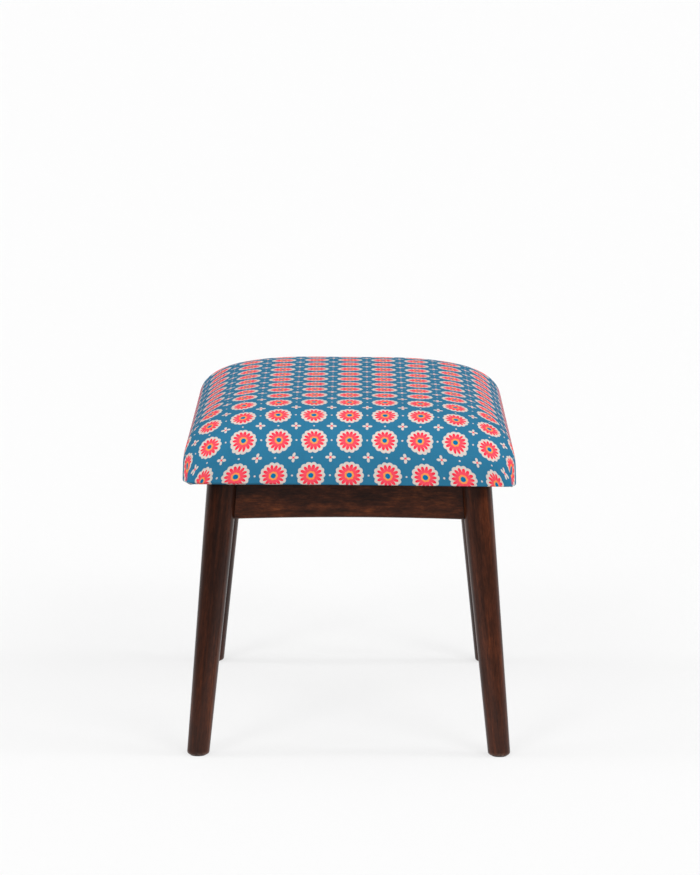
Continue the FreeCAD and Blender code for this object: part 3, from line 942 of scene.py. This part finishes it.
def plywood():
    """Birch plywood: pale veneer, with its plies showing at the edges."""
    material, tree = new_material("plywood")
    veneer = grain_noise(tree, along_grain(tree, *VENEER_GRAIN), *VENEER)
    colour = ramp(tree, veneer, VENEER_STOPS)
    height = calc(tree, "SUBTRACT", height_above_floor(tree), BOARD_LOW[2])
    ply = calc(tree, "FRACT", calc(tree, "MULTIPLY", height, PLIES_PER_METRE))
    facing = parts_of(tree, new_node(tree, "NewGeometry").outputs["Normal"])[2]
    on_edge = calc(tree, "LESS_THAN", calc(tree, "ABSOLUTE", facing), 0.5)
    dark = calc(tree, "MULTIPLY", calc(tree, "GREATER_THAN", ply, 0.5), on_edge)
    colour = mix_colour(tree, calc(tree, "MULTIPLY", dark, DARK_PLY_SHARE), colour, DARK_PLY)
    return finish_material(material, colour, veneer, VENEER_ROUGHNESS, veneer, VENEER_RELIEF, {})


# Small materials

def fluff(name, pale, dark, scale, relief):
    """Loose fibre or open foam: two tones, rough, with a soft grain."""
    material, tree = new_material(name)
    grain = noise_value(tree, object_place(tree), scale, *FLUFF_GRAIN)
    colour = mix_colour(tree, spread(tree, grain, *FLUFF_TONES), dark, pale)
    return finish_material(material, colour, grain, FLUFF_ROUGHNESS, grain, relief, FLUFF_FINISH)


def dust_cloth():
    """Black spun cloth with a fine pressed dot grid."""
    material, tree = new_material("dust_cloth")
    place = object_place(tree)
    fibres = calc(tree, "MULTIPLY", noise_value(tree, place, *SPUN_FIBRES), SPUN_FIBRE_SHARE)
    waves = []
    for length in parts_of(tree, place)[:2]:
        turn = calc(tree, "MULTIPLY", length, math.pi / SPUN_DOT_PITCH)
        waves.append(calc(tree, "ABSOLUTE", calc(tree, "SINE", turn)))
    dots = spread(tree, calc(tree, "MULTIPLY", *waves), *SPUN_DOT_EDGE)
    tone = calc(tree, "MULTIPLY_ADD", dots, SPUN_DOT_SHARE, fibres)
    colour = mix_colour(tree, tone, SPUN_DARK, SPUN_PALE)
    return finish_material(material, colour, tone, SPUN_ROUGHNESS, tone, SPUN_RELIEF, {})


def steel():
    """Zinc plated steel with faint drawing marks and dull spots."""
    material, tree = new_material("steel")
    place = object_place(tree)
    marks = noise_value(tree, place, *STEEL_MARKS)
    spots = spread(tree, noise_value(tree, place, *STEEL_SPOTS), *STEEL_SPOT_TONES)
    colour = mix_colour(tree, spots, STEEL_BRIGHT, STEEL_DULL)
    return finish_material(material, colour, marks, STEEL_ROUGHNESS, marks, STEEL_RELIEF, STEEL_FINISH)


# Soft pieces

def thicken(piece, thickness, offset=-1.0):
    """Give a sheet its thickness: inwards, or evenly to both sides with an offset of 0."""
    shell = piece.modifiers.new("thickness", "SOLIDIFY")
    shell.thickness = thickness
    shell.offset = offset


def finish_piece(piece, material, slot, *nodes):
    """Give a piece its material and its ride, and hide the nodes of the imported model that it stands for.
    """
    piece.data.materials.append(material)
    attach(piece, "root")
    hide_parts(*nodes)


def start_swelling(piece):
    """Cloth that is held firmly by its hem, softly by its padding, and pushed out by an even pressure."""
    held = piece.vertex_groups.new(name="held")
    for vertex in piece.data.vertices:
        hold = 1 - smooth_share(vertex.co.z, HEM_Z, HEM_Z + HEM_HOLD_RISE)
        held.add([vertex.index], max(hold, PADDING_HOLD), "REPLACE")
    cloth = piece.modifiers.new("cloth", "CLOTH")
    for name, value in CLOTH_SETTINGS.items():
        setattr(cloth.settings, name, value)
    cloth.settings.vertex_group_mass = held.name
    cloth.settings.effector_weights.gravity = 0.0
    cloth.collision_settings.use_collision = False


def swell(surface):
    """Draw the cover in a little, and let the padding push it out again."""
    piece = surface.build("swelling_cover")
    inward = [-SWELL_INSET * vertex.normal for vertex in piece.data.vertices]
    for vertex, step in zip(piece.data.vertices, inward):
        vertex.co += step * smooth_share(vertex.co.z - HEM_Z, HEM_ROUND, SWELL_RISE)
    start_swelling(piece)
    for number in range(1, SWELL_FRAMES + 1):
        scene.frame_set(number)
    swollen = piece.evaluated_get(bpy.context.evaluated_depsgraph_get()).to_mesh()
    for index, vertex in enumerate(piece.data.vertices):
        shift = swollen.vertices[index].co - vertex.co
        limited = SWELL_LIMIT * math.tanh(shift.length / SWELL_LIMIT)
        surface.points[index] = vertex.co + shift.normalized() * limited
    scene.frame_set(1)
    bpy.data.objects.remove(piece)


def make_cover():
    """Printed cover, pulled over the pad, pleated at the corners and turned under the board."""
    surface = PadSurface(hem_rings() + wall_rings(0.0, HEM_Z + HEM_ROUND), cap_rings(0.0))
    swell(surface)
    surface.fold_pleats()
    surface.lean(LIP_INSET, LIP_SINK)
    piece = surface.build("bench_cover", pleated=True)
    smoother = piece.modifiers.new("smooth", "SUBSURF")
    smoother.levels = 1
    smoother.render_levels = 1
    thicken(piece, COVER_THICKNESS)
    finish_piece(piece, print_fabric(), "print_fabric", "fabric_cover")


def make_wadding():
    """Wadding under the cover, down to near the foot of the board."""
    foot = BOARD_LOW[2] + WADDING_FOOT
    surface = PadSurface(wall_rings(WADDING_INSET, foot), cap_rings(WADDING_INSET))
    surface.lean(HALF_WIDTH)
    piece = surface.build("pad_wadding")
    thicken(piece, WADDING_THICKNESS)
    finish_piece(piece, fluff("wadding", *WADDING_FLUFF), "wadding", "wadding_wrap")


def make_foam():
    """Foam block on the board."""
    surface = PadSurface(wall_rings(FOAM_INSET, BOARD_HIGH[2]), cap_rings(FOAM_INSET))
    surface.lean(0.0)
    surface.close_bottom()
    piece = surface.build("pad_foam")
    finish_piece(piece, fluff("foam", *FOAM_FLUFF), "foam", "foam_pad")


def dust_sag(point):
    """How far the dust cover hangs down at a place: only inside the rails and corner blocks."""
    across = abs(point.x)
    along = abs(point.y)
    to_block = (FRAME_INSIDE_X + BLOCK_INSIDE_Y - across - along) / math.sqrt(2)
    room = min(FRAME_INSIDE_X - across, FRAME_INSIDE_Y - along, to_block)
    wave = Vector((*(RIPPLES_PER_METRE * point.xy), RIPPLE_SEED))
    return smooth_share(room, *DUST_SAG_ROOM) * (DUST_SAG + noise.noise(wave) * DUST_RIPPLE)


def make_dust_cover():
    """Thin cloth under the seat, stapled at its edge and a little slack inside the frame."""
    half_x = DUST_HIGH[0]
    half_y = DUST_HIGH[1]
    edge = (half_x, half_y, DUST_CORNER_RADIUS, (DUST_LOW[2] + DUST_HIGH[2]) / 2)
    points = []
    grid = {}
    for column in range(COLUMNS + 1):
        for row in range(ROWS + 1):
            ring, side, share = cap_place(column, row)
            point, _ = side_point(shrunk_ring(edge, 1 - ring / LEVELS), side, share, 0.0)
            point.z -= dust_sag(point)
            grid[column, row] = len(points)
            points.append(point)
    piece = mesh_piece("dust_cloth_sheet", points, grid_faces(grid, downwards=True))
    thicken(piece, DUST_THICKNESS, 0.0)
    finish_piece(piece, dust_cloth(), "dust_cloth", "dust_cover")


# Screws

def recess_outline():
    """Outline of a cross recess, turning left from the middle of its first arm's end."""
    half = RECESS_WIDTH / 2
    reach = RECESS_REACH - half
    places = (RECESS_REACH, half + reach * 2 / 3, half + reach / 3)
    quarter = [Vector((RECESS_REACH, 0))]
    quarter.extend(Vector((place, half)) for place in places)
    quarter.append(Vector((half, half)))
    quarter.extend(Vector((half, place)) for place in reversed(places))
    return [turned(*point, turn) for turn in range(4) for point in quarter]


def thread_radius(z, turn, length):
    """Radius of the thread at a depth and a share of a turn, fading out at the neck and the tip."""
    phase = (z / SCREW_PITCH - turn) % 1
    ridge = max(1 - abs(4 * phase - 2), 0.0)
    end = length - SCREW_TIP
    from_neck = smooth_share(z, SCREW_NECK, SCREW_NECK + SCREW_PITCH)
    to_tip = 1 - smooth_share(z, end - SCREW_PITCH, end)
    return SCREW_ROOT + (SCREW_CREST - SCREW_ROOT) * ridge * from_neck * to_tip


def screw_rings(length):
    """Rings of a screw along its third axis, from its recess over the head and down to near its point."""
    cross = recess_outline()
    turns = [index / len(cross) for index in range(len(cross))]
    rings = []
    for size, z in ((RECESS_NARROWING, RECESS_DEPTH), (1.0, SCREW_EDGE), (RECESS_EASING, 0.0)):
        rings.append([Vector((size * x, size * y, z - SCREW_HEAD_HEIGHT)) for x, y in cross])
    profile = []
    for step in range(SCREW_HEAD_STEPS + 1):
        angle = math.radians(90 * step / SCREW_HEAD_STEPS)
        radius = SCREW_HEAD_RADIUS - SCREW_HEAD_ROUND * (1 - math.sin(angle))
        profile.append((radius, SCREW_HEAD_ROUND * (1 - math.cos(angle)) - SCREW_HEAD_HEIGHT))
    profile += [(SCREW_HEAD_RADIUS, -SCREW_EDGE), (SCREW_HEAD_RADIUS - SCREW_EDGE, 0.0), (SCREW_CREST, 0.0)]
    for radius, z in profile:
        rings.append([round_point(radius, turn, z) for turn in turns])
    run = length - SCREW_TIP - SCREW_NECK
    rows = round(run / SCREW_ROW)
    for row in range(rows + 1):
        z = SCREW_NECK + run * row / rows
        rings.append([round_point(thread_radius(z, turn, length), turn, z) for turn in turns])
    return rings


def round_point(radius, turn, z):
    angle = 2 * math.pi * turn
    return Vector((radius * math.cos(angle), radius * math.sin(angle), z))


def add_screw(points, faces, place, direction, length):
    """Add a screw to a mesh: the underside of its head is at a place, and it points in a direction."""
    rings = screw_rings(length)
    count = len(rings[0])
    first = len(points)
    turn = Vector(direction).to_track_quat("Z", "Y")
    local = [Vector((0, 0, RECESS_POINT - SCREW_HEAD_HEIGHT)), Vector((0, 0, length))]
    for ring in rings:
        local.extend(ring)
    points.extend(Vector(place) + turn @ point for point in local)
    start = first + 2
    last = start + count * (len(rings) - 1)
    for index in range(count):
        following = (index + 1) % count
        faces.append((first, start + following, start + index))
        faces.append((last + index, last + following, first + 1))
        for ring in range(len(rings) - 1):
            low = start + count * ring
            faces.append((low + index, low + following, low + count + following, low + count + index))


def screw_piece(name, screws, material, node):
    """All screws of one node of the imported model, as one piece."""
    points = []
    faces = []
    for place, direction, length in screws:
        add_screw(points, faces, place, direction, length)
    piece = mesh_piece(name, points, faces)
    piece.data.set_sharp_from_angle(angle=math.radians(SHARP_ANGLE))
    finish_piece(piece, material, "steel", node)


def make_screws(material):
    """Two screws through each corner block into the rails, and one up into the board."""
    block_z = (SCREW_LOW[2] + SCREW_HIGH[2]) / 2
    block_length = SCREW_HIGH[0] - FRAME_INSIDE_X + BLOCK_SCREW_SEAT
    seat_z = SEAT_SCREW_LOW[2] + SCREW_HEAD_HEIGHT
    seat_length = SEAT_SCREW_HIGH[2] - seat_z
    block_screws = []
    seat_screws = []
    for side_x in (-1, 1):
        for side_y in (-1, 1):
            seat_x, block_x, wall_x = (side_x * (FRAME_INSIDE_X - inset) for inset in SCREW_INSETS)
            seat_y, block_y, wall_y = (side_y * (FRAME_INSIDE_Y - inset) for inset in SCREW_INSETS)
            block_screws.append(((block_x, wall_y, block_z), (0, side_y, 0), block_length))
            block_screws.append(((wall_x, block_y, block_z), (side_x, 0, 0), block_length))
            seat_screws.append(((seat_x, seat_y, seat_z), (0, 0, 1), seat_length))
    screw_piece("block_screw_set", block_screws, material, "block_screws")
    screw_piece("seat_screw_set", seat_screws, material, "seat_screws")


# Rigid pieces

def dress_node(name, material):
    """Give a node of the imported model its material."""
    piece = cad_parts[name]
    piece.data.materials.clear()
    piece.data.materials.append(material)


def dress_frame():
    """Materials of the legs, rails, blocks, board and hardware."""
    felt = fluff("felt", *FELT_FLUFF)
    blocks = raw_wood()
    metal = steel()
    for corner, side_x, side_y, seed, tone in LEGS:
        grain = (side_x * LEG_SPLAY, side_y * LEG_SPLAY, -1)
        dress_node(corner + "_leg", dark_wood("dark_wood_" + corner, grain, seed, LEG_FIGURE, tone))
        dress_node(corner + "_foot_pad", felt)
        dress_node(corner + "_block", blocks)
    for rail, grain, seed in RAILS:
        dress_node(rail, dark_wood("dark_wood_" + rail, grain, seed, RAIL_FIGURE, RAIL_TONE))
    dress_node("seat_board", plywood())
    for hardware in ("seat_washers", "cover_staples", "dust_cover_staples"):
        dress_node(hardware, metal)
    make_screws(metal)


# Studio

def seen_in_gloss(tree):
    """1 for what gloss and glass show, 0 for the camera and for the light that falls on the bench."""
    path = new_node(tree, "LightPath")
    return calc(tree, "MAXIMUM", path.outputs["Is Glossy Ray"], path.outputs["Is Transmission Ray"])


def seen_by_camera(tree):
    return new_node(tree, "LightPath").outputs["Is Camera Ray"]


def make_floor():
    """Wide pale floor that shows almost white and keeps the bench's shadow."""
    half = FLOOR_SIZE / 2
    corners = ((-half, -half, 0), (half, -half, 0), (half, half, 0), (-half, half, 0))
    floor = mesh_piece("studio_floor", corners, [(0, 1, 2, 3)])
    material, tree = new_material("studio_floor")
    tree.nodes.clear()
    place = object_place(tree)
    behind = spread(tree, parts_of(tree, place)[1], *FLOOR_BEHIND)
    near = spread(tree, vector_calc(tree, "LENGTH", place), *FLOOR_NEAR)
    in_gloss = calc(tree, "MAXIMUM", behind, near)
    strength = mix_value(tree, seen_in_gloss(tree), FLOOR_GLOW, in_gloss)
    glow = new_node(tree, "Emission", WHITE, strength)
    paper = new_node(tree, "BsdfDiffuse", FLOOR_PAPER)
    shadow = new_node(tree, "BsdfDiffuse", FLOOR_SHADOW)
    shown = new_node(tree, "AddShader", shadow.outputs[0], glow.outputs[0])
    seen = calc(tree, "MAXIMUM", seen_by_camera(tree), seen_in_gloss(tree))
    surface = new_node(tree, "MixShader", seen, paper.outputs[0], shown.outputs[0])
    new_node(tree, "OutputMaterial", surface.outputs[0])
    floor.data.materials.append(material)
    floor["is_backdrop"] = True
    return floor


def make_world():
    """White surroundings: bright to the camera, a soft fill to the bench, and darker in front in gloss."""
    world = bpy.data.worlds.new("studio")
    scene.world = world
    world.use_nodes = True
    tree = world.node_tree
    direction = new_node(tree, "TexCoord").outputs["Generated"]
    in_gloss = spread(tree, parts_of(tree, direction)[1], *WORLD_BEHIND)
    strength = mix_value(tree, seen_in_gloss(tree), WORLD_LIGHT, in_gloss)
    shown = mix_value(tree, seen_by_camera(tree), strength, WORLD_SHOWN)
    plug_named(tree, tree.nodes["Background"], {"Color": WHITE, "Strength": shown})


def make_sun(name, towards, strength, width):
    """Wide soft lamp, far away, shining from a direction."""
    lamp = bpy.data.lights.new(name, "SUN")
    lamp.energy = strength
    lamp.angle = math.radians(width)
    holder = add_object(name, lamp)
    holder.rotation_euler = Vector(towards).to_track_quat("Z", "Y").to_euler()
    holder.visible_glossy = False
    return holder


def make_strip(name, heading, strength, lifts, width):
    """Tall narrow lamp in one direction, as a few suns one above the other."""
    suns = []
    flat = Vector((*heading, 0)).normalized()
    for step, lift in enumerate(lifts):
        angle = math.radians(lift)
        towards = flat * math.cos(angle) + Vector((0, 0, math.sin(angle)))
        suns.append(make_sun(name + "_" + str(step), towards, strength / len(lifts), width))
    return suns


def make_floor_strips(floor):
    """Low lamps that light only the floor, so that the legs' shadows show on it."""
    lit = bpy.data.collections.new("lit_by_floor_strips")
    lit.objects.link(floor)
    for strip in FLOOR_STRIPS:
        for sun in make_strip(*strip, FLOOR_STRIP_LIFTS, FLOOR_STRIP_WIDTH):
            sun.light_linking.receiver_collection = lit


def make_camera():
    """Camera at the photograph's place and angle."""
    data = bpy.data.cameras.new("camera")
    data.sensor_width = SENSOR
    data.lens = FOCAL_PIXELS * SENSOR / PHOTO_HEIGHT
    camera = add_object("camera", data)
    camera.location = CAMERA_PLACE
    aim = Euler((math.radians(90 - CAMERA_PITCH), 0, math.radians(CAMERA_YAW))).to_quaternion()
    roll = Quaternion((0, 0, 1), math.radians(CAMERA_ROLL))
    camera.rotation_euler = (aim @ roll).to_euler()
    bpy.context.scene.camera = camera


make_cover()
make_wadding()
make_foam()
make_dust_cover()
dress_frame()
make_floor_strips(make_floor())
make_world()
for lamp_values in LAMPS:
    make_sun(*lamp_values)
for strip_values in STRIPS:
    make_strip(*strip_values, STRIP_LIFTS, STRIP_WIDTH)
make_camera()
scene.view_settings.view_transform = "Standard"

boxes = {"cad": cad_box, "visual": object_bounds()}
{name: [list(corner) for corner in box] for name, box in boxes.items()}
